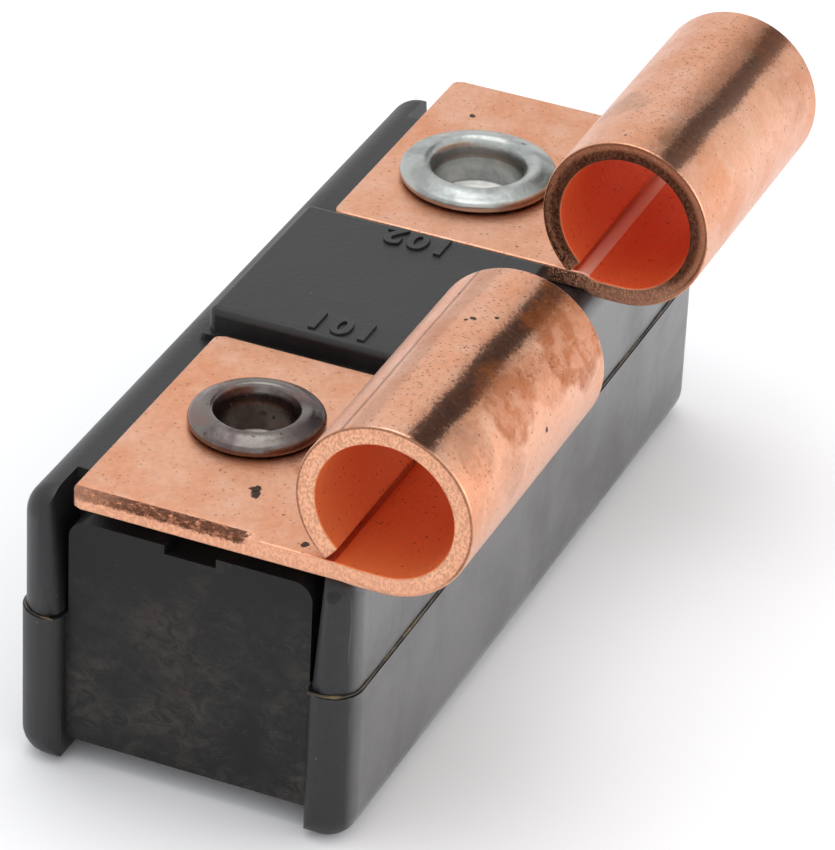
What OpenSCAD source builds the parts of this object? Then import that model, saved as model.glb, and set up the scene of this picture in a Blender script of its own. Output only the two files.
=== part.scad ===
// Glass-fuse sized automotive circuit breaker: a two-part moulded housing with two rolled
// copper terminals riveted on top and a bimetal blade switching the load inside.
// The housing lies along X, the rolled barrels overhang its -Y side, and Z is up.

/* [Housing outside] */
// Length of the housing over its four corner posts
body_l = 32.5; // [31:0.1:36]
// Width of the housing over its two side walls
body_w = 12.6; // [12.2:0.1:16]
// Height of the deck that the terminals lie on, above the feet
deck_z = 10.9; // [10:0.1:13]
// Height of the glued seam between the two mouldings, above the feet
seam_z = 6.1; // [5.6:0.1:6.6]
// Radius of the rounded outer edges
edge_r = 1.1; // [0.6:0.05:1.15]
// How far the upper moulding's faces stand in from the lower one's at the seam
seam_step = 0.1; // [0.05:0.05:0.2]
// How far each end wall stands back from the ends of the side walls
end_recess = 0.7; // [0.3:0.05:1.2]
// Thickness of the two end walls
end_wall = 1.55; // [1:0.05:2]
// Drop from the deck to the top edge of the end walls
end_wall_drop = 1.0; // [0.6:0.1:1.4]
// Radius of the top corners of the end walls
end_corner_r = 0.7; // [0.3:0.05:1]
// Width of the moulding gate notch in the top edge of each end wall
gate_w = 1.9; // [1:0.1:3]
// Depth of the moulding gate notch
gate_depth = 0.35; // [0.1:0.05:0.6]

/* [Housing inside] */
// Thickness of the lower side walls
wall = 1.75; // [1.2:0.05:2]
// Thickness of the upper side walls at the seam
skirt = 1.3; // [1:0.05:1.6]
// How much thinner the upper posts get from the seam to the deck
post_draft = 0.35; // [0.1:0.05:0.5]
// Thickness of the deck
deck_t = 1.6; // [1.2:0.1:2]
// Thickness of the floor
floor_t = 1.2; // [0.8:0.1:1.6]
// Height of the side rails below the underside of the floor
rail_drop = 0.95; // [0.6:0.05:1.2]
// Length of each foot at the ends of the side rails
foot_l = 8.0; // [5:0.5:10]
// Depth of the relief between the feet
foot_relief = 0.35; // [0.1:0.05:0.5]
// Thickness of the glue in the seam
glue_t = 0.08; // [0.04:0.02:0.16]
// Gap round the end walls where the upper moulding closes on them
mould_gap = 0.1; // [0.05:0.01:0.15]
// Size of the four guide ribs behind the end walls, along the housing
rib_l = 0.8; // [0.5:0.1:1.2]
// Reach of the guide ribs in from the side walls
rib_reach = 1.2; // [0.8:0.1:1.5]

/* [Centre bar] */
// Gap between the raised bar and the terminals on both sides of it
bar_gap = 0.7; // [0.4:0.1:1.5]
// Width of the bar across the housing
bar_w = 9.6; // [8:0.1:10.5]
// Height of the bar above the deck
bar_h = 1.2; // [0.9:0.05:1.6]
// Radius of the bar's top edges
bar_edge_r = 0.3; // [0.1:0.05:0.5]
// Height of the fillet step round the foot of the bar
bar_foot = 0.25; // [0.1:0.05:0.4]

/* [Terminals] */
// How far each terminal reaches past the end of the housing
strip_reach = 0.05; // [0:0.05:0.5]
// Width of each copper strip, which is the length of each barrel
strip_w = 11.4; // [10.5:0.1:11.6]
// Thickness of the copper strip
strip_t = 0.7; // [0.5:0.05:0.8]
// Outside diameter of the rolled barrels
barrel_d = 6.3; // [5.8:0.05:6.6]
// Distance of the barrels' axis from the middle of the housing
barrel_y = 7.2; // [6.8:0.1:8]
// Distance of the strips' free edge from the middle of the housing
flag_y = 4.1; // [3.9:0.1:4.6]
// Radius of the corners at the strips' free edge
flag_corner_r = 0.35; // [0.1:0.05:0.8]
// Gap between the rolled-over end and the flat of the strip
curl_gap = 0.05; // [0.02:0.01:0.1]

/* [Rivets] */
// How far the rivets stand in from the middle of each strip, towards the middle of the housing
rivet_shift = 0.95; // [0.5:0.05:1.3]
// Distance of the rivets from the middle of the housing, across it
rivet_y = 0.35; // [0:0.05:0.6]
// Shank diameter of the line-side rivet
line_shank_d = 3.9; // [3.4:0.1:4.4]
// Outside diameter of the line-side rivet's rolled collar
line_collar_d = 4.8; // [4.5:0.1:5.2]
// Shank diameter of the load-side rivet
load_shank_d = 4.8; // [4.2:0.1:5.2]
// Outside diameter of the load-side rivet's rolled collar
load_collar_d = 5.85; // [5.4:0.05:6.2]
// Radial clearance of the rivets in their holes
rivet_fit = 0.03; // [0.01:0.01:0.06]
// Depth of the hole in each rivet below the strip's top face
rivet_hole_depth = 1.3; // [0.8:0.1:2]
// Diameter of the rivets' heads inside the housing
head_d = 5.2; // [5:0.1:5.6]
// Height of the rivets' heads
head_h = 0.8; // [0.5:0.1:1]

/* [Switch] */
// Thickness of both inner brackets
bracket_t = 0.6; // [0.4:0.05:0.8]
// Width of both inner brackets
bracket_w = 6.2; // [5.6:0.1:7]
// Radius inside the brackets' bends
bend_r = 0.4; // [0.2:0.05:0.5]
// Gap between the brackets' outer faces and the end walls
bracket_gap = 0.7; // [0.3:0.05:1]
// Length of each bracket's upper tab, under the deck
upper_tab_l = 6.8; // [6.6:0.1:7.6]
// Length of the line bracket's lower tab, which carries the blade
root_tab_l = 3.0; // [2.4:0.1:4]
// Length of the load bracket's lower tab, which carries the fixed contact
contact_tab_l = 5.3; // [5.3:0.1:5.8]
// Thickness of the bimetal blade
blade_t = 0.4; // [0.3:0.05:0.5]
// Width of the bimetal blade
blade_w = 5.6; // [4.8:0.1:6.2]
// Length of blade left whole between the rivets' places and the ends of its slot
slot_land = 4.65; // [3.6:0.05:6]
// Width of the slot in the blade
blade_slot_w = 1.4; // [1:0.1:2]
// Height of the blade's underside above the floor
blade_clear = 2.05; // [1.9:0.05:2.2]
// Diameter of the moving contact
moving_d = 3.4; // [2.8:0.1:3.6]
// Diameter of the fixed contact
fixed_d = 3.2; // [2.6:0.1:3.6]
// Height of the moving contact above the blade
moving_h = 0.8; // [0.5:0.05:1]
// Height of the fixed contact below its tab
fixed_h = 0.7; // [0.5:0.05:0.9]
// Width of the chamfer round both contacts' faces
contact_chamfer = 0.2; // [0.1:0.05:0.3]
// Diameter of the contacts' riveted tails
tail_d = 1.3; // [0.8:0.1:1.6]
// Diameter over the tails' upset ends
upset_d = 1.9; // [1.7:0.1:2.2]
// Height of the tails' upset ends
upset_h = 0.2; // [0.1:0.05:0.3]
// Radial clearance of the tails in their holes
tail_fit = 0.02; // [0.01:0.01:0.05]

/* [Hidden] */
$fn = 64;

barrel_r = barrel_d / 2;
// The origin is under the middle of the whole object, so the housing is shifted by this much
housing_y = (barrel_y + barrel_r - body_w / 2) / 2;

half_l = body_l / 2;
half_w = body_w / 2;
// Length over the two terminals, which is the length over the barrels
terminals_l = body_l + 2 * strip_reach;
// Distance of the rivets from the middle of the housing, along it
rivet_x = terminals_l / 2 - strip_w / 2 - rivet_shift;
bar_l = 2 * (terminals_l / 2 - strip_w - bar_gap);
blade_slot_l = 2 * (rivet_x - slot_land);
floor_z = rail_drop + floor_t;
ceiling_z = deck_z - deck_t;
end_outer = half_l - end_recess;
end_inner = end_outer - end_wall;
end_top = deck_z - end_wall_drop;
deck_end = end_inner - mould_gap;
lower_in = half_w - wall;
skirt_in = half_w - seam_step - skirt;
end_half = lower_in - mould_gap / 2;
post_in_low = lower_in + mould_gap;
post_in_top = post_in_low + post_draft;

strip_top = deck_z + strip_t;
barrel_z = deck_z + barrel_r;
curl_r = barrel_r - strip_t / 2;
// The strip's rounded end comes down to just above the flat
curl_end = 180 + asin((barrel_r - strip_t - strip_t / 2 - curl_gap) / curl_r);

bracket_out = end_inner - bracket_gap;
blade_z = floor_z + blade_clear;
root_z = blade_z + blade_t;
mate_z = root_z + moving_h;
fixed_z = mate_z + fixed_h;
blade_root = bracket_out - bend_r / 4;
over = 1;

// Rectangle standing on the X axis, its lower and upper corners rounded by their own radii
module arch_rect(l, h, r_low, r_top) {
    translate([-l / 2, r_low]) square([l, h - r_low - r_top]);
    if (r_low > 0) {
        translate([-l / 2 + r_low, 0]) square([l - 2 * r_low, r_low]);
        for (s = [-1, 1]) translate([s * (l / 2 - r_low), r_low]) circle(r_low);
    }
    if (r_top > 0) {
        translate([-l / 2 + r_top, h - r_top]) square([l - 2 * r_top, r_top]);
        for (s = [-1, 1]) translate([s * (l / 2 - r_top), h - r_top]) circle(r_top);
    }
}

// Block centred in plan, its upright edges rounded by r, its lower or upper edges by r or not at all
module soft_block(l, w, h, r, r_low, r_top) {
    translate([r - l / 2, 0, 0]) rotate([90, 0, 90]) linear_extrude(l - 2 * r)
        arch_rect(w, h, r_low, r_top);
    translate([0, w / 2 - r, 0]) rotate([90, 0, 0]) linear_extrude(w - 2 * r)
        arch_rect(l, h, r_low, r_top);
    for (x = [-1, 1])
        for (y = [-1, 1])
            translate([x * (l / 2 - r), y * (w / 2 - r), 0]) soft_corner(h, r, r_low, r_top);
}

// Upright corner of such a block, with a ball end where its neighbouring edges are rounded
module soft_corner(h, r, r_low, r_top) {
    rotate_extrude() {
        translate([0, r_low]) square([r, h - r_low - r_top]);
        if (r_low > 0) translate([0, r_low]) intersection() {
            circle(r);
            translate([0, -r]) square(r);
        }
        if (r_top > 0) translate([0, h - r_top]) intersection() {
            circle(r);
            square(r);
        }
    }
}

// Runs its children once for each end of the housing
module both_ends() {
    for (s = [0, 1]) mirror([s, 0, 0]) children();
}

// Runs its children once for each side of the housing
module both_sides() {
    for (s = [0, 1]) mirror([0, s, 0]) children();
}

// The space between the upper posts at the load end, wider at the deck than at the seam
module post_gap() {
    translate([deck_end, 0, 0]) rotate([90, 0, 90]) linear_extrude(half_l - deck_end + over)
        polygon([
            [-post_in_low, seam_z - over], [post_in_low, seam_z - over], [post_in_low, seam_z],
            [post_in_top, deck_z], [post_in_top, deck_z + over],
            [-post_in_top, deck_z + over], [-post_in_top, deck_z], [-post_in_low, seam_z]
        ]);
}

module rivet_hole(x, shank_d, z0, z1) {
    translate([x, rivet_y, z0]) cylinder(d = shank_d + 2 * rivet_fit, h = z1 - z0);
}

// Raised bar with rounded top edges on a low, slightly wider foot
module centre_bar() {
    translate([0, 0, deck_z - over])
        soft_block(bar_l, bar_w, bar_h + over, bar_edge_r, 0, bar_edge_r);
    translate([0, 0, deck_z - over])
        soft_block(bar_l + 2 * bar_foot, bar_w + 2 * bar_foot, bar_foot + over, bar_edge_r, 0, 0);
}

module upper_housing() {
    bottom = seam_z + glue_t / 2;
    color([0.13, 0.13, 0.14]) {
        difference() {
            union() {
                translate([0, 0, bottom])
                    soft_block(body_l - 2 * seam_step, body_w - 2 * seam_step, deck_z - bottom,
                        edge_r, 0, edge_r);
                centre_bar();
            }
            both_ends() post_gap();
            translate([-deck_end - over, -skirt_in, bottom - over])
                cube([2 * (deck_end + over), 2 * skirt_in, ceiling_z - bottom + over]);
            rivet_hole(-rivet_x, line_shank_d, ceiling_z - over, deck_z + over);
            rivet_hole(rivet_x, load_shank_d, ceiling_z - over, deck_z + over);
        }
        both_ends() both_sides()
            translate([deck_end - rib_l, skirt_in - rib_reach, bottom])
                cube([rib_l, rib_reach, ceiling_z - bottom]);
    }
}

// End wall at the load end, its top corners rounded, with a gate notch in its top edge
module end_panel() {
    translate([end_inner, 0, 0]) rotate([90, 0, 90]) linear_extrude(end_wall)
        difference() {
            translate([0, rail_drop]) arch_rect(2 * end_half, end_top - rail_drop, 0, end_corner_r);
            translate([-gate_w / 2, end_top - gate_depth]) square([gate_w, gate_depth + over]);
        }
}

module lower_housing() {
    top = seam_z - glue_t / 2;
    color([0.12, 0.12, 0.13]) {
        difference() {
            soft_block(body_l, body_w, top, edge_r, edge_r, 0);
            translate([-half_l - over, -lower_in, -over])
                cube([body_l + 2 * over, 2 * lower_in, rail_drop + over]);
            translate([-end_outer, -lower_in, floor_z])
                cube([2 * end_outer, 2 * lower_in, top - floor_z + over]);
            both_ends() translate([end_outer, -lower_in, -over])
                cube([end_recess + over, 2 * lower_in, top + 2 * over]);
            translate([foot_l - half_l, -half_w - over, -over])
                cube([body_l - 2 * foot_l, body_w + 2 * over, foot_relief + over]);
        }
        both_ends() end_panel();
        both_ends() both_sides() translate([end_inner, end_half - mould_gap, rail_drop])
            cube([end_wall, lower_in - end_half + 2 * mould_gap, top - rail_drop]);
    }
}

// Two strips of glue between the side walls, set in a little from their faces
module housing_cement() {
    inset = seam_step + glue_t;
    color([0.55, 0.45, 0.25])
        both_sides() translate([0, 0, seam_z - glue_t / 2])
            intersection() {
                linear_extrude(glue_t)
                    translate([0, -half_w + inset])
                        arch_rect(body_l - 2 * inset, body_w - 2 * inset, edge_r, edge_r);
                translate([-half_l, skirt_in + glue_t, -over])
                    cube([body_l, skirt, glue_t + 2 * over]);
            }
}

// Flat flag and rolled barrel in one strip, at the line end
module terminal(shank_d) {
    near = -terminals_l / 2;
    color([0.86, 0.55, 0.4])
        difference() {
            union() {
                translate([near, 0, 0]) rotate([90, 0, 90]) linear_extrude(strip_w) {
                    difference() {
                        translate([-barrel_y, barrel_z]) circle(barrel_r);
                        translate([-barrel_y, barrel_z]) circle(barrel_r - strip_t);
                        curl_cut();
                    }
                    translate([-barrel_y, barrel_z]) rotate(180 - curl_end)
                        translate([curl_r, 0]) circle(strip_t / 2);
                }
                translate([near, -barrel_y, deck_z]) cube([strip_w, barrel_y + flag_y, strip_t]);
            }
            flag_corners();
            rivet_hole(-rivet_x, shank_d, deck_z - over, strip_top + over);
        }
}

// Sector of the barrel's ring left open between the rolled-over end and the flat
module curl_cut() {
    reach = 2 * barrel_r;
    a = 180 - curl_end;
    translate([-barrel_y, barrel_z])
        polygon([
            [0, 0], [reach * cos(a), reach * sin(a)],
            [reach, -reach], [0, -reach]
        ]);
}

// What is trimmed from the flag to round its two free corners
module flag_corners() {
    r = flag_corner_r;
    for (x = [-terminals_l / 2, -terminals_l / 2 + strip_w])
        translate([x, flag_y, deck_z - over]) linear_extrude(strip_t + 2 * over)
            difference() {
                translate([-r, -r]) square(2 * r);
                translate([x < -rivet_x ? r : -r, -r]) circle(r);
                translate([x < -rivet_x ? r : -2 * r, -r]) square([r, r]);
            }
}

module line_terminal() {
    terminal(line_shank_d);
}

module load_terminal() {
    mirror([1, 0, 0]) terminal(load_shank_d);
}

// Semi-tubular rivet: a flat head inside, a shank, and a rolled collar round its open end
module rivet(x, shank_d, collar_d) {
    shank_r = shank_d / 2;
    roll_r = (collar_d - shank_d) / 2;
    hole_r = shank_r - roll_r;
    head_top = ceiling_z - bracket_t;
    rim_z = strip_top + roll_r;
    hole_z = strip_top - rivet_hole_depth;
    translate([x, rivet_y, 0]) {
        difference() {
            union() {
                translate([0, 0, head_top - head_h]) cylinder(d = head_d, h = head_h);
                translate([0, 0, head_top]) cylinder(r = shank_r, h = rim_z - head_top);
            }
            translate([0, 0, hole_z]) cylinder(r = hole_r, h = rim_z - hole_z + over);
            translate([0, 0, hole_z - hole_r / 3]) cylinder(r1 = 0, r2 = hole_r, h = hole_r / 3);
        }
        rotate_extrude() translate([shank_r, rim_z]) circle(roll_r);
    }
}

module line_rivet() {
    color([0.45, 0.4, 0.38]) rivet(-rivet_x, line_shank_d, line_collar_d);
}

module load_rivet() {
    color([0.75, 0.76, 0.77]) rivet(rivet_x, load_shank_d, load_collar_d);
}

// Outline of a C-shaped strip at the load end, seen from -Y: upper tab, leg and lower tab
module bracket_outline(low_z, low_tab) {
    h = ceiling_z - low_z;
    translate([bracket_out, low_z])
        difference() {
            union() {
                translate([-upper_tab_l, h - bracket_t]) square([upper_tab_l - bend_r, bracket_t]);
                translate([-low_tab, 0]) square([low_tab - bend_r, bracket_t]);
                intersection() {
                    translate([-2 * bend_r - bracket_t, 0]) square([2 * bend_r + bracket_t, h]);
                    translate([-h, 0]) arch_rect(2 * h, h, bend_r + bracket_t, bend_r + bracket_t);
                }
            }
            translate([-bracket_t - h, bracket_t])
                arch_rect(2 * h, h - 2 * bracket_t, bend_r, bend_r);
        }
}

module bracket(low_z, low_tab, shank_d) {
    difference() {
        translate([0, bracket_w / 2, 0]) rotate([90, 0, 0]) linear_extrude(bracket_w)
            bracket_outline(low_z, low_tab);
        rivet_hole(rivet_x, shank_d, ceiling_z - bracket_t - over, ceiling_z + over);
        children();
    }
}

module line_bracket() {
    color([0.8, 0.62, 0.35]) mirror([1, 0, 0]) bracket(root_z, root_tab_l, line_shank_d);
}

module load_bracket() {
    color([0.8, 0.62, 0.35]) bracket(fixed_z, contact_tab_l, load_shank_d)
        contact_hole(fixed_z - over, fixed_z + bracket_t + over);
}

module contact_hole(z0, z1) {
    translate([rivet_x, 0, z0]) cylinder(r = tail_d / 2 + tail_fit, h = z1 - z0);
}

// Strip with a round end about the moving contact and a slot along its middle
module bimetal_blade() {
    tip_r = blade_w / 2;
    color([0.62, 0.6, 0.55])
        translate([0, 0, blade_z]) difference() {
            linear_extrude(blade_t) difference() {
                union() {
                    translate([-blade_root, -blade_w / 2])
                        square([blade_root + rivet_x, blade_w]);
                    translate([rivet_x, 0]) circle(tip_r);
                }
                translate([-blade_slot_l / 2, -blade_slot_w / 2])
                    square([blade_slot_l, blade_slot_w]);
                for (s = [-1, 1])
                    translate([s * blade_slot_l / 2, 0]) circle(blade_slot_w / 2);
            }
            translate([0, 0, -blade_z]) contact_hole(blade_z - over, blade_z + blade_t + over);
        }
}

// Riveted contact button facing +Z, its back on z = 0, with a tail through a plate below it
module contact_button(d, h, plate_t) {
    translate([0, 0, h - contact_chamfer])
        cylinder(d1 = d, d2 = d - 2 * contact_chamfer, h = contact_chamfer);
    cylinder(d = d, h = h - contact_chamfer);
    translate([0, 0, -plate_t]) cylinder(d = tail_d, h = plate_t);
    translate([0, 0, -plate_t - upset_h]) cylinder(d = upset_d, h = upset_h);
}

module moving_contact() {
    color([0.82, 0.82, 0.8])
        translate([rivet_x, 0, root_z]) contact_button(moving_d, moving_h, blade_t);
}

module fixed_contact() {
    color([0.82, 0.82, 0.8])
        translate([rivet_x, 0, fixed_z]) mirror([0, 0, 1])
            contact_button(fixed_d, fixed_h, bracket_t);
}

// Moves the housing and all that it carries so that the whole object is centred
module centred() {
    translate([0, housing_y, 0]) children();
}

centred() upper_housing();
centred() lower_housing();
centred() housing_cement();
centred() line_terminal();
centred() load_terminal();
centred() line_rivet();
centred() load_rivet();
centred() line_bracket();
centred() load_bracket();
centred() bimetal_blade();
centred() moving_contact();
centred() fixed_contact();
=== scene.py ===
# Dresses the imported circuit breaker: copper, plating, moulded plastic, glue and the marks of use
import math
import random

import bmesh
import bpy
from mathutils import Matrix, Vector


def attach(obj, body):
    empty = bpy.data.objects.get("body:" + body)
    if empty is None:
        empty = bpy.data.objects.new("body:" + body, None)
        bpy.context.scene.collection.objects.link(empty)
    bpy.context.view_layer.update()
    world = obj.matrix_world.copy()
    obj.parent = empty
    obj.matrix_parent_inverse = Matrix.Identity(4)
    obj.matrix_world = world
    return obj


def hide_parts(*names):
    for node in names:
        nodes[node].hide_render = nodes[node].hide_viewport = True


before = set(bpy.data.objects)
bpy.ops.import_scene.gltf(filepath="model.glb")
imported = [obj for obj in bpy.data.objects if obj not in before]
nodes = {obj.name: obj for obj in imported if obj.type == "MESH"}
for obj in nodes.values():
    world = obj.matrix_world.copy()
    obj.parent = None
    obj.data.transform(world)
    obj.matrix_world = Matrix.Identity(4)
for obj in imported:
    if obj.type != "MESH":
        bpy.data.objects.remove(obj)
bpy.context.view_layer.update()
mm = 0.001
middleY, rivetY = 2.025, 2.375
print("frame loaded:", len(nodes), "nodes")

# small helpers


def linked(obj):
    bpy.context.scene.collection.objects.link(obj)
    return obj


def put(tree, kind, **settings):
    node = tree.nodes.new(kind)
    for name, value in settings.items():
        setattr(node, name, value)
    return node


def feed(tree, socket, value):
    if isinstance(value, bpy.types.NodeSocket):
        tree.links.new(value, socket)
    elif value is not None:
        socket.default_value = value


def fill(tree, node, values):
    for key, value in values.items():
        feed(tree, node.inputs[key], value)
    return node.outputs


def wired(tree, kind, values, **settings):
    # a new node with its inputs filled; gives its outputs
    return fill(tree, put(tree, kind, **settings), values)


def calc(tree, operation, a, b=None, clamp=False):
    return wired(tree, "ShaderNodeMath", {0: a, 1: b}, operation=operation, use_clamp=clamp)[0]


def times(tree, first, *others):
    for other in others:
        first = calc(tree, "MULTIPLY", first, other)
    return first


def plus(tree, a, b):
    return calc(tree, "ADD", a, b)


def minus(tree, a, b):
    return calc(tree, "SUBTRACT", a, b)


def gap(tree, a, b):
    return calc(tree, "ABSOLUTE", minus(tree, a, b))


def vectorCalc(tree, operation, values):
    result = "Value" if operation in ("DISTANCE", "DOT_PRODUCT") else "Vector"
    return wired(tree, "ShaderNodeVectorMath", values, operation=operation)[result]


def axes(tree, vector):
    return wired(tree, "ShaderNodeSeparateXYZ", {0: vector})


def blendColour(tree, factor, a, b):
    return wired(tree, "ShaderNodeMix", {0: factor, 6: a, 7: b}, data_type="RGBA", clamp_factor=True)[2]


def cover(tree, below, above, mask, share):
    # lays a colour over another where the mask is, as thick as the share
    return blendColour(tree, times(tree, mask, share), below, above)


def fade(tree, value, low, high, outLow=0.0, outHigh=1.0):
    # a smooth step from outLow at low to outHigh at high
    values = dict(enumerate((value, low, high, outLow, outHigh)))
    return wired(tree, "ShaderNodeMapRange", values, interpolation_type="SMOOTHSTEP")[0]


def cloudNoise(tree, vector, scale, detail=4.0, roughness=0.55, distortion=0.0):
    return wired(tree, "ShaderNodeTexNoise", {
        "Vector": vector, "Scale": scale, "Detail": detail, "Roughness": roughness,
        "Distortion": distortion})[0]


def lumpNoise(tree, seed, scale, detail):
    # noise at each point of a mesh, told apart by a seed
    return wired(tree, "ShaderNodeTexNoise", {
        "Vector": meshPoint(tree), "W": seed, "Scale": scale, "Detail": detail}, noise_dimensions="4D")[0]


def meshPoint(tree):
    return put(tree, "GeometryNodeInputPosition").outputs[0]


def meshNormal(tree):
    return put(tree, "GeometryNodeInputNormal").outputs[0]


def stretched(tree, vector, scale, turn=(0.0, 0.0, 0.0), shift=(0.0, 0.0, 0.0)):
    angles = [math.radians(a) for a in turn]
    values = {"Vector": vector, "Scale": scale, "Rotation": angles, "Location": shift}
    return wired(tree, "ShaderNodeMapping", values)[0]


def shifted(tree, vector, shift):
    return stretched(tree, vector, (1, 1, 1), shift=shift)


# kinds of socket, and the kind that a default value stands for
geometryKind, objectKind, materialKind, vectorKind, floatKind = [
    "NodeSocket" + kind for kind in ("Geometry", "Object", "Material", "Vector", "Float")]
kindOf = {float: floatKind, int: "NodeSocketInt", tuple: vectorKind}


def addSockets(tree, inputs, label, kind):
    # inputs are named by their default value, or by their kind where they have none
    for name, value in inputs.items():
        bare = isinstance(value, str)
        socket = tree.interface.new_socket(
            name=name, in_out="INPUT", socket_type=value if bare else kindOf[type(value)])
        if not bare:
            socket.default_value = value
    tree.interface.new_socket(name=label, in_out="OUTPUT", socket_type=kind)
    return tree, put(tree, "NodeGroupInput").outputs, put(tree, "NodeGroupOutput").inputs


def startGroup(name, inputs):
    return addSockets(bpy.data.node_groups.new(name, "ShaderNodeTree"), inputs, "Mask", floatKind)


def useGroup(tree, group, vector=None, **values):
    if vector is not None:
        values["Vector"] = vector
    return wired(tree, "ShaderNodeGroup", values, node_tree=group)[0]


def clouds(tree, vector, scale, low, high, detail):
    return useGroup(tree, cloudPatches, vector, Scale=scale, Low=low, High=high, Detail=detail)


def dots(tree, vector, scale, share, size):
    return useGroup(tree, dotSpecks, vector, Scale=scale, Share=share, Size=size)


def hairs(tree, vector, scale, share, width):
    return useGroup(tree, hairScratches, vector, Scale=scale, Share=share, Width=width)


def spotAt(tree, vector, centre, size, ragged, scale):
    # the soft spot round a point given in millimetres
    return useGroup(
        tree, nearPoint, vector, Point=[c * mm for c in centre], Radius=size * mm, Ragged=ragged,
        Scale=scale)


# effects that several finishes share
def makeCloudPatches():
    group, given, result = startGroup(
        "cloudPatches", {"Vector": vectorKind, "Scale": 400.0, "Low": 0.45, "High": 0.6, "Detail": 5.0})
    value = cloudNoise(group, given["Vector"], given["Scale"], given["Detail"], 0.62, 0.3)
    feed(group, result["Mask"], fade(group, value, given["Low"], given["High"]))
    return group


def makeDotSpecks():
    # small round dots of uneven size; Share is how many cells of the pattern have one
    group, given, result = startGroup(
        "dotSpecks", {"Vector": vectorKind, "Scale": 1200.0, "Share": 0.1, "Size": 0.3})
    wobble = cloudNoise(group, given["Vector"], times(group, given["Scale"], 2.5), 2.0)
    cells = wired(group, "ShaderNodeTexVoronoi", {"Vector": given["Vector"], "Scale": given["Scale"]})
    pick = wired(group, "ShaderNodeSeparateColor", {0: cells["Color"]})
    distance = plus(group, cells["Distance"], times(group, minus(group, wobble, 0.5), 0.5))
    size = times(group, given["Size"], plus(group, pick[1], 0.25))
    spot = fade(group, distance, size, times(group, size, 0.55))
    chosen = calc(group, "LESS_THAN", pick[0], given["Share"])
    feed(group, result["Mask"], times(group, spot, chosen))
    return group


def makeHairScratches():
    # thin broken lines along the stretched direction of the vector
    group, given, result = startGroup(
        "hairScratches", {"Vector": vectorKind, "Scale": 900.0, "Share": 0.3, "Width": 0.02})
    lines = cloudNoise(group, given["Vector"], given["Scale"], 1.5, 0.5, 0.15)
    offset = gap(group, lines, 0.52)
    line = fade(group, offset, given["Width"], 0.0)
    place = cloudNoise(group, given["Vector"], times(group, given["Scale"], 0.35), 2.0)
    limit = minus(group, 0.75, times(group, given["Share"], 0.5))
    here = fade(group, place, limit, plus(group, limit, 0.08))
    feed(group, result["Mask"], times(group, line, here))
    return group


def makeWornEdges():
    # where a small bevel would turn the surface, which is where handling polishes it
    group, given, result = startGroup("wornEdges", {"Radius": 0.2 * mm, "Gain": 6.0})
    bevel = wired(group, "ShaderNodeBevel", {"Radius": given["Radius"]}, samples=4)
    true = put(group, "ShaderNodeNewGeometry").outputs["Normal"]
    turned = minus(group, 1.0, vectorCalc(group, "DOT_PRODUCT", {0: bevel[0], 1: true}))
    feed(group, result["Mask"], calc(group, "MULTIPLY", turned, given["Gain"], True))
    return group


def makeNearPoint():
    # a soft spot round a point of the part, its border broken up by noise
    group, given, result = startGroup("nearPoint", {
        "Vector": vectorKind, "Point": vectorKind, "Radius": mm, "Ragged": 0.5, "Scale": 1500.0})
    away = vectorCalc(group, "DISTANCE", {0: given["Vector"], 1: given["Point"]})
    away = calc(group, "DIVIDE", away, given["Radius"])
    rough = minus(group, cloudNoise(group, given["Vector"], given["Scale"], 4.0), 0.5)
    away = plus(group, away, times(group, rough, times(group, given["Ragged"], 2.0)))
    feed(group, result["Mask"], fade(group, away, 1.0, 0.72))
    return group


cloudPatches = makeCloudPatches()
dotSpecks = makeDotSpecks()
hairScratches = makeHairScratches()
wornEdges = makeWornEdges()
nearPoint = makeNearPoint()
print("shared effects built")


def startMaterial(name):
    material = bpy.data.materials.new(name)
    material.use_nodes = True
    tree = material.node_tree
    return material, tree, tree.nodes["Principled BSDF"], put(tree, "ShaderNodeTexCoord").outputs["Object"]


def bumpFrom(tree, shader, height, distance):
    bump = wired(tree, "ShaderNodeBump", {"Strength": 1.0, "Distance": distance, "Height": height})
    feed(tree, shader.inputs["Normal"], bump[0])


def dress(obj, material):
    obj.data.materials.clear()
    obj.data.materials.append(material)


# copper strip
copperLook = {
    "fresh": (0.80, 0.43, 0.285, 1), "warm": (0.74, 0.335, 0.19, 1), "pale": (0.84, 0.52, 0.38, 1),
    "cut": (0.84, 0.42, 0.26, 1), "cutCore": (0.86, 0.45, 0.28, 1), "lowCut": (0.84, 0.43, 0.27, 1),
    # the bore's deep red is painted bounce light: the reddened light that bounces inside the barrel
    "inside": (0.88, 0.25, 0.065, 1), "stain": (0.42, 0.125, 0.038, 1), "sootAndPaintedShadow": (0.085, 0.034, 0.021, 1),
    # the pale pink for the ledge is a painted highlight
    "rust": (0.30, 0.115, 0.05, 1), "pitch": (0.02, 0.012, 0.010, 1), "paintedLedgeHighlight": (0.93, 0.62, 0.48, 1),
    "torn": (0.46, 0.19, 0.105, 1), "tornDark": (0.075, 0.028, 0.017, 1), "roughness": 0.33,
    "bump": 0.007 * mm
}
# where the rolled strip's features lie: radii from the barrel's axis, heights, and the crown's angle
barrelPlaces = {
    "axisY": -5.175 * mm, "axisZ": 14.05 * mm, "outerWall": 2.98 * mm, "innerWall": 2.97 * mm,
    "boreFade": (1.9 * mm, 2.3 * mm), "aboveFlat": 11.9 * mm, "crownAngle": 97.0, "crownFade": (34.0, 8.0),
    "rimShadowLine": 3.08 * mm, "rimShadowFade": (0.06 * mm, 0.02 * mm), "coreFade": (2.95 * mm, 2.75 * mm),
    "footFade": (12.4 * mm, 11.5 * mm), "ledgeFade": (11.75 * mm, 11.65 * mm), "tearFoot": 11.24 * mm
}


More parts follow.
